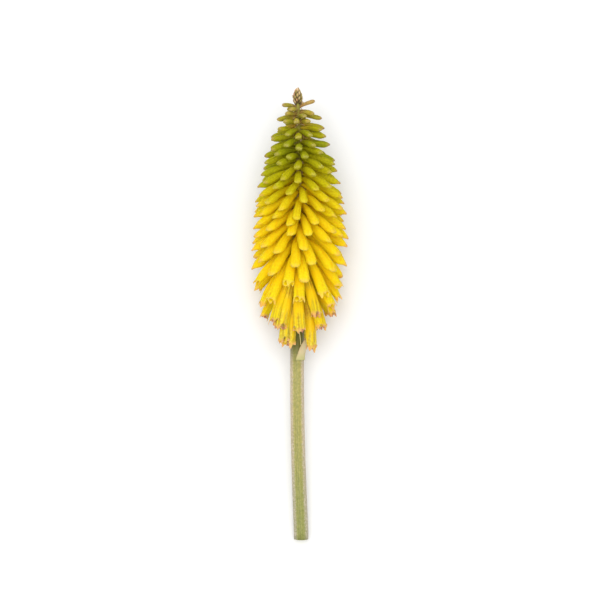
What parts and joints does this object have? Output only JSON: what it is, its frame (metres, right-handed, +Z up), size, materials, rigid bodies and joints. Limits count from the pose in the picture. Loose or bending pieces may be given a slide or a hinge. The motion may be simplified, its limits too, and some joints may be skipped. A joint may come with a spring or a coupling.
{
  "type": "red hot poker flower",
  "caption": "Cut red hot poker flower lying on its side: a leafless stem and a dense spike of tubular florets, green buds above and yellow florets below.",
  "frame": {"origin": "on the surface that the flower lies on, under the middle of its box", "axes": "+Y from the stem's cut end towards the tip of the spike, +Z up from the surface, +X to the right for a viewer who looks down on the flower with its tip away from them"},
  "size_m": [0.0587, 0.2694, 0.0575],
  "materials": {
    "stem": "satin",
    "yellow_florets": "satin",
    "green_buds": "satin",
    "tip_tuft": "matte",
    "stem_bract": "matte"
  },
  "bodies": {
    "root": {"stem": "stem", "yellow_florets": "yellow_florets", "green_buds": "green_buds", "tip_tuft": "tip_tuft", "stem_bract": "stem_bract"}
  },
  "joints": []
}
